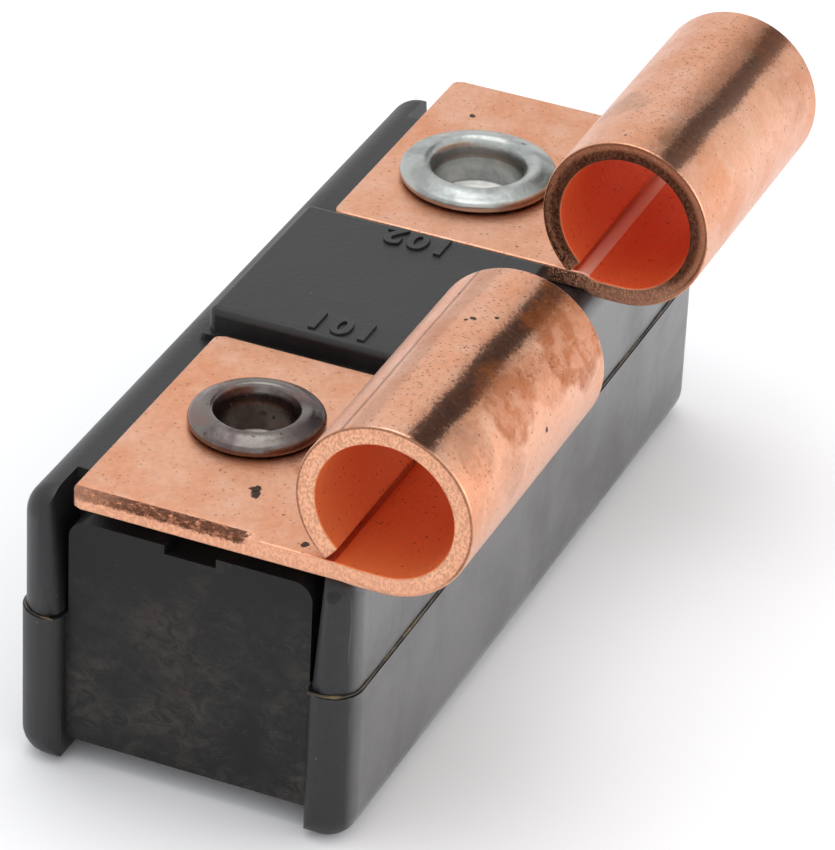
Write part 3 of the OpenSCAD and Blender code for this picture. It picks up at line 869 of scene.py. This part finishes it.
def makeLatheTree():
    # spins a profile round Z, with a little unevenness left by the setting tool
    tree, given, result = startTree("latheProfile", {
        "Geometry": geometryKind, "Profile": objectKind, "Segments": 96, "Stations": 90,
        "Centre": (0.0, 0.0, 0.0), "Unevenness": 0.02 * mm, "Bump Size": 700.0, "Seed": 0.0,
        "Finish": materialKind})
    info = wired(tree, "GeometryNodeObjectInfo", {"Object": given["Profile"]})
    grid = wired(
        tree, "GeometryNodeMeshGrid",
        {"Size X": 1.0, "Size Y": 1.0, "Vertices X": given["Segments"], "Vertices Y": given["Stations"]})
    split = axes(tree, meshPoint(tree))
    turn = times(tree, plus(tree, split[0], 0.5), 2 * math.pi)
    along = calc(tree, "ADD", split[1], 0.5, True)
    sample = wired(
        tree, "GeometryNodeSampleCurve", {"Curves": info["Geometry"], "Factor": along},
        mode="FACTOR", use_all_curves=True)
    spin = wired(
        tree, "ShaderNodeVectorRotate", {"Vector": sample["Position"], "Angle": turn},
        rotation_type="Z_AXIS")
    wrap = wired(tree, "GeometryNodeSetPosition", {"Geometry": grid["Mesh"], "Position": spin[0]})
    close = wired(tree, "GeometryNodeMergeByDistance", {"Geometry": wrap[0], "Distance": 0.0005 * mm})
    # only the rolled collar is uneven
    here = axes(tree, meshPoint(tree))
    collar = fade(tree, here[2], *rivetShape["collarFade"])
    rough = lumpNoise(tree, given["Seed"], given["Bump Size"], 3.0)
    amount = times(tree, minus(tree, rough, rivetShape["bumpLevel"]), given["Unevenness"], collar)
    shift = vectorCalc(tree, "SCALE", {0: meshNormal(tree), "Scale": amount})
    worn = wired(tree, "GeometryNodeSetPosition", {"Geometry": close[0], "Offset": shift})
    move = wired(tree, "GeometryNodeTransform", {"Geometry": worn[0], "Translation": given["Centre"]})
    endTree(tree, given, result, move[0])
    return tree


latheTree = makeLatheTree()


def rivetProfile(shape, size):
    # (radius, 0, height) from the middle of the hole's floor, over the collar and down to the head's middle
    shank, collar, hole = size["shank"], size["collar"], size["hole"]
    crest, top = (shank + hole) / 2 + size["crestShift"], shape["top"] + size["lift"]
    rim, r = collar - shape["rimInset"], shape["rimRadius"]
    points = [
        (0, 10.32), (hole * 0.8, 10.36), (hole, 10.52), (hole, 11.25), (hole + 0.02, 11.62),
        (hole + 0.07, 11.90), (hole + 0.15, top - 0.14), (crest - 0.09, top - 0.03), (crest, top),
        (crest + 0.12, top + 0.005), (crest + 0.30, top - 0.04), ((crest + rim) / 2 + 0.08, top - 0.13)]
    arc = [math.radians(a) for a in range(25, 150, 14)]
    points += [(rim - r + r * math.sin(a), top - 0.42 + r * math.cos(a)) for a in arc]
    points += [
        (rim - 0.22, 11.64), (rim - 0.34, 11.605), (shank + 0.04, 11.604), (shank, 11.56), (shank, 8.78),
        (shank + 0.04, 8.70), (2.50, 8.70), (2.6, 8.62), (2.6, 8.0), (2.48, 7.9), (0, 7.9)]
    return [(radius, 0, height) for radius, height in points]


rivetSettings = {
    "line_rivet": {
        "x": -9.65, "seed": 2.0, "finish": lineRivetFinish, "slot": "dark_rivet",
        "size": {"shank": 1.95, "collar": 2.4, "hole": 1.34, "crestShift": -0.02, "lift": 0.0}},
    "load_rivet": {
        "x": 9.65, "seed": 6.0, "finish": loadRivetFinish, "slot": "bright_rivet",
        "size": {"shank": 2.4, "collar": 2.925, "hole": 1.66, "crestShift": 0.02, "lift": 0.02}}
}
for node, own in rivetSettings.items():
    profile = polyCurve(node + "_profile", rivetProfile(rivetShape, own["size"]))
    piece = grow(node + "_turned", seedPoint(node), latheTree, {
        "Profile": profile, "Segments": rivetShape["segments"], "Stations": rivetShape["stations"],
        "Centre": (own["x"] * mm, rivetY * mm, 0.0), "Unevenness": rivetShape["unevenness"] * mm,
        "Bump Size": rivetShape["bumpSize"], "Seed": own["seed"], "Finish": own["finish"]})
    bpy.data.objects.remove(profile)
    clean(piece)
    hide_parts(node)
    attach(piece, "breaker")
    print("rivet turned:", node, len(piece.data.polygons), "faces")


# the two mouldings, with softened edges
def quarterCutter(bm, corner, towards, radius, low, high, upright):
    # rounds an inner edge: a bar whose section is a square less the quarter disc that stays
    steps, outside = 8, 0.3
    arc = [math.radians(90 * i / steps) for i in range(steps + 1)]
    section = [(-outside, -outside), (-outside, radius)]
    section += [(radius - radius * math.cos(a), radius - radius * math.sin(a)) for a in arc]
    section += [(radius, -outside)]
    rings = []
    for place, lean in (low, high):
        ring = []
        for u, v in section:
            if upright:  # the section lies in plan: u inwards from the end face, v into the post
                co = (corner[0] + towards[0] * u, corner[1] + towards[1] * (v + lean), place)
            else:  # the section lies across the rail: u up from the foot, v into the rail
                co = (place, corner[1] + towards[1] * v, corner[2] + u)
            ring.append(bm.verts.new([c * mm for c in co]))
        rings.append(ring)
    for i in range(len(section)):
        j = (i + 1) % len(section)
        bm.faces.new((rings[0][i], rings[0][j], rings[1][j], rings[1][i]))
    bm.faces.new(rings[0])
    bm.faces.new(rings[1])


def softCopy(name, node, own):
    # the CAD node's mesh with its inner post and rail edges rounded and all edges softened
    end, inner = own["end"], own["postInner"]

    def mergeFlats(bm):
        bmesh.ops.remove_doubles(bm, verts=bm.verts, dist=0.002 * mm)
        bmesh.ops.dissolve_limit(bm, angle_limit=math.radians(0.6), verts=bm.verts, edges=bm.edges)

    def postCutters(bm):
        for sx in (-1, 1):
            for sy in (-1, 1):
                quarterCutter(
                    bm, (sx * end, middleY + sy * inner, 0), (-sx, sy), own["postRound"], *own["postSpan"],
                    upright=True)
        bmesh.ops.recalc_face_normals(bm, faces=bm.faces)

    def railCutters(bm):
        for sy in (-1, 1):
            quarterCutter(
                bm, (0, middleY + sy * inner, 0), (1, sy), own["railRound"], (-17, 0), (17, 0),
                upright=False)
        bmesh.ops.recalc_face_normals(bm, faces=bm.faces)

    piece = linked(bpy.data.objects.new(name + "_rough", nodes[node].data.copy()))
    reshape(piece.data, mergeFlats)
    # two cuts, since the cutters of the posts and of the rails cross
    piece = cut(piece, meshObject("postCutter", postCutters))
    if own["railRound"]:
        piece = cut(piece, meshObject("railCutter", railCutters))
    bevel = piece.modifiers.new("soften", "BEVEL")
    bevel.width, bevel.segments, bevel.limit_method = own["soften"] * mm, 2, "ANGLE"
    bevel.angle_limit, bevel.use_clamp_overlap, bevel.harden_normals = math.radians(38), True, False
    bevel.miter_outer = "MITER_ARC"
    for face in piece.data.polygons:
        face.use_smooth = True
    return settle(name, evenNormals(piece))


mouldingSettings = {
    "upper_housing": {
        "soften": 0.10, "finish": upperFinish, "slot": "upper_moulding", "endWall": False, "end": 16.15,
        "postInner": 4.65, "postRound": 0.6, "postSpan": ((5.6, -0.036), (11.6, 0.4)), "railRound": 0},
    "lower_housing": {
        "soften": 0.10, "finish": lowerFinish, "slot": "lower_moulding", "endWall": True, "end": 16.25,
        "postInner": 4.55, "postRound": 0.62, "postSpan": ((-0.5, 0.0), (6.6, 0.0)), "railRound": 0.5}
}
endWallZone = {"x": (15.3, 15.6), "halfWidth": 4.52, "facing": 0.7}
for node, own in mouldingSettings.items():
    piece = softCopy(node + "_moulded", node, own)
    dress(piece, own["finish"])
    if own["endWall"]:
        piece.data.materials.append(endWallFinish)
        x0, x1 = endWallZone["x"]
        for face in piece.data.polygons:
            x, y, _ = [c / mm for c in face.center]
            onWall = x0 < abs(x) < x1 and abs(y - middleY) < endWallZone["halfWidth"]
            if onWall and abs(face.normal.x) > endWallZone["facing"]:
                face.material_index = 1
    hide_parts(node)
    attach(piece, "breaker")
    print("moulding softened:", node, len(piece.data.polygons), "faces")


# raised numerals on the bar
numeralShape = {"size": 1.5, "depth": 0.10, "bevel": 0.03, "offset": 0.03, "spacing": 1.25, "roundness": 6}
numeralSettings = {
    "101": {"at": (-3.40, 2.05, 12.07), "turn": -90.0}, "102": {"at": (3.40, 2.05, 12.07), "turn": 90.0}
}
for label, own in numeralSettings.items():
    text = bpy.data.curves.new("numeral", "FONT")
    text.body, text.align_x, text.align_y = label, "CENTER", "CENTER"
    text.size, text.extrude = numeralShape["size"] * mm, numeralShape["depth"] * mm
    text.bevel_depth, text.offset = numeralShape["bevel"] * mm, numeralShape["offset"] * mm
    text.space_character, text.resolution_u = numeralShape["spacing"], numeralShape["roundness"]
    piece = settle("terminal_numeral_" + label, linked(bpy.data.objects.new("numeral", text)))
    turn = Matrix.Rotation(math.radians(own["turn"]), 4, "Z")
    piece.data.transform(Matrix.Translation([c * mm for c in own["at"]]) @ turn)
    clean(piece, smooth=False)
    dress(piece, upperFinish)
    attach(piece, "breaker")
print("numerals set")


# glue squeezed out of the seam
def makeBeadTree():
    # an uneven bead along a curve, thin where it was wiped off
    tree, given, result = startTree("seamBead", {
        "Geometry": geometryKind, "Path": objectKind, "Radius": 0.09 * mm, "Unevenness": 0.8,
        "Lump Size": 500.0, "Seed": 0.0, "Finish": materialKind})
    info = wired(tree, "GeometryNodeObjectInfo", {"Object": given["Path"]})
    steps = wired(
        tree, "GeometryNodeResampleCurve", {"Curve": info["Geometry"], "Length": 0.12 * mm}, mode="LENGTH")
    lumps = lumpNoise(tree, given["Seed"], given["Lump Size"], 4.0)
    swing = times(tree, minus(tree, lumps, 0.5), times(tree, given["Unevenness"], 4.0))
    size = times(tree, given["Radius"], calc(tree, "MAXIMUM", plus(tree, 1.0, swing), 0.22))
    sideways = times(tree, minus(tree, lumps, 0.5), times(tree, given["Radius"], 2.4))
    sway = wired(tree, "ShaderNodeCombineXYZ", {2: sideways})
    wander = wired(tree, "GeometryNodeSetPosition", {"Geometry": steps[0], "Offset": sway[0]})
    ring = wired(tree, "GeometryNodeCurvePrimitiveCircle", {"Resolution": 8, "Radius": 1.0}, mode="RADIUS")
    tube = wired(
        tree, "GeometryNodeCurveToMesh",
        {"Fill Caps": True, "Curve": wander[0], "Profile Curve": ring[0], "Scale": size})
    smooth = wired(tree, "GeometryNodeSetShadeSmooth", {"Geometry": tube[0]})
    endTree(tree, given, result, smooth[0])
    return tree


beadTree = makeBeadTree()
seamSettings = {
    "halfLength": 16.2, "halfWidth": 6.24, "corner": 1.05, "height": 6.1, "inset": 0.03, "postInner": 4.72,
    "unevenness": 0.8, "lumpSize": 620.0,
    "beads": {
        "seam_bead_barrel_side": {"side": -1, "radius": 0.058, "seed": 4.0},
        "seam_bead_plain_side": {"side": 1, "radius": 0.054, "seed": 9.0}}
}


def seamPath(settings, side):
    # along one side wall and round both its posts to their inner faces
    x, y = [settings[key] - settings["inset"] for key in ("halfLength", "halfWidth")]
    r, arc = settings["corner"], [math.radians(a) for a in range(15, 90, 15)]
    points = [(-x, settings["postInner"]), (-x, y - r)]
    points += [(-x + r - r * math.cos(a), y - r + r * math.sin(a)) for a in arc] + [(-x + r, y)]
    points += [(-px, py) for px, py in reversed(points)]
    return [(px, middleY + side * py, settings["height"]) for px, py in points]


for name, own in seamSettings["beads"].items():
    path = polyCurve(name + "_path", seamPath(seamSettings, own["side"]))
    piece = grow(name, seedPoint(name), beadTree, {
        "Path": path, "Radius": own["radius"] * mm, "Unevenness": seamSettings["unevenness"],
        "Lump Size": seamSettings["lumpSize"], "Seed": own["seed"], "Finish": glueFinish})
    bpy.data.objects.remove(path)
    clean(piece)
    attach(piece, "breaker")
print("seam glued")


# nodes that keep their own shape
plainFinishes = {
    "housing_cement": glueFinish, "line_bracket": brassFinish, "load_bracket": brassFinish,
    "bimetal_blade": bimetalFinish, "moving_contact": silverFinish, "fixed_contact": silverFinish
}
for node, finish in plainFinishes.items():
    nodes[node].material_slots[0].material = finish


# floor, light and camera
stageSettings = {
    "floor": (0.965, 0.965, 0.97, 1), "floorHalf": 1.6, "ambient": (0.97, 0.98, 1.0, 1),
    "ambientStrength": 1.0, "gloss": 0.97,
    "soft": [
        {"name": "topSoftbox", "from": (10, 40, 260), "size": (200, 160), "watts": 0.15},
        {"name": "sideSoftbox", "from": (60, -230, 60), "size": (160, 90), "watts": 0.16}],
    "flag": {"azimuth": -11.0, "elevation": 34.0, "distance": 320.0, "size": (135, 150)}
}


def addStage(settings):
    half = settings["floorHalf"]
    floor = meshObject("floor", lambda bm: bmesh.ops.create_grid(bm, x_segments=1, y_segments=1, size=half))
    material, tree, shader, point = startMaterial("pale_floor")
    tone = clouds(tree, point, 6.0, 0.3, 0.8, 2.0)
    shade = [c * 0.985 for c in settings["floor"][:3]] + [1]
    colour = blendColour(tree, tone, settings["floor"], shade)
    fill(tree, shader, {"Base Color": colour, "Roughness": 0.9, "Specular IOR Level": 0.1})
    dress(floor, material)

    world = bpy.data.worlds.new("softRoom")
    bpy.context.scene.world = world
    world.use_nodes = True
    tree = world.node_tree
    tree.nodes.clear()
    # plain white for the camera and for gloss, the soft room's light for the rest
    path = put(tree, "ShaderNodeLightPath").outputs
    seen = calc(tree, "MAXIMUM", path["Is Glossy Ray"], path["Is Transmission Ray"])
    seen = calc(tree, "MAXIMUM", path["Is Camera Ray"], seen)
    glare = fade(tree, path["Is Camera Ray"], 0.0, 1.0, settings["gloss"], 1.0)
    room = wired(
        tree, "ShaderNodeBackground",
        {"Color": settings["ambient"], "Strength": settings["ambientStrength"]})
    white = wired(tree, "ShaderNodeBackground", {"Color": (1, 1, 1, 1), "Strength": glare})
    either = wired(tree, "ShaderNodeMixShader", {0: seen, 1: room[0], 2: white[0]})
    wired(tree, "ShaderNodeOutputWorld", {"Surface": either[0]})

    aim = Vector((0, 0, 8 * mm))
    for own in settings["soft"]:
        lamp = bpy.data.lights.new(own["name"], "AREA")
        lamp.shape, lamp.energy = "RECTANGLE", own["watts"]
        lamp.size, lamp.size_y = [c * mm for c in own["size"]]
        holder = linked(bpy.data.objects.new(own["name"], lamp))
        holder.location = Vector(own["from"]) * mm
        holder.rotation_euler = (aim - holder.location).to_track_quat("-Z", "Y").to_euler()

    # a black card that only gloss sees gives the barrels their dark streak
    own = settings["flag"]
    az, el = math.radians(own["azimuth"]), math.radians(own["elevation"])
    back = Vector((math.cos(az) * math.cos(el), math.sin(az) * math.cos(el), math.sin(el)))
    w, h = own["size"][0] * mm / 2, own["size"][1] * mm / 2
    turn = back.to_track_quat("Z", "Y").to_matrix().to_4x4()

    def card(bm):
        place = Matrix.Translation(back * own["distance"] * mm) @ turn
        corners = [place @ Vector((sx * w, sy * h, 0)) for sx, sy in ((-1, -1), (1, -1), (1, 1), (-1, 1))]
        bm.faces.new([bm.verts.new(c) for c in corners])

    flag = meshObject("blackCard", card)
    material, tree, shader, point = startMaterial("black_card")
    fill(tree, shader, {"Base Color": (0.01, 0.01, 0.01, 1), "Specular IOR Level": 0.0, "Roughness": 1.0})
    dress(flag, material)
    flag.visible_camera = flag.visible_diffuse = flag.visible_shadow = flag.visible_transmission = False


cameraSettings = {
    "heading": 21.781, "dip": 31.833, "roll": 2.911, "place": (-145.293, -58.443, 104.319),
    "focalPixels": 5152.3, "centrePixels": (438.0, 419.3), "image": (835, 850), "sensor": 36.0
}


def addCamera(settings):
    az, el, roll = [math.radians(settings[k]) for k in ("heading", "dip", "roll")]
    ahead = Vector((math.cos(az) * math.cos(el), math.sin(az) * math.cos(el), -math.sin(el)))
    right = Vector((math.sin(az), -math.cos(az), 0))
    up = right.cross(ahead)
    right, up = right * math.cos(roll) + up * math.sin(roll), up * math.cos(roll) - right * math.sin(roll)
    data = bpy.data.cameras.new("photoCamera")
    width, height = settings["image"]
    data.sensor_width = settings["sensor"]
    data.lens = settings["focalPixels"] * settings["sensor"] / height
    data.shift_x = (width / 2 - settings["centrePixels"][0]) / height
    data.shift_y = (settings["centrePixels"][1] - height / 2) / height
    data.clip_start, data.clip_end = 0.01, 10.0
    camera = linked(bpy.data.objects.new("photoCamera", data))
    turned = Matrix((right, up, -ahead)).transposed().to_4x4()
    camera.matrix_world = Matrix.Translation(Vector(settings["place"]) * mm) @ turned
    bpy.context.scene.camera = camera


addStage(stageSettings)
addCamera(cameraSettings)
bpy.context.scene.view_settings.view_transform = "Standard"
print("stage, light and camera set")
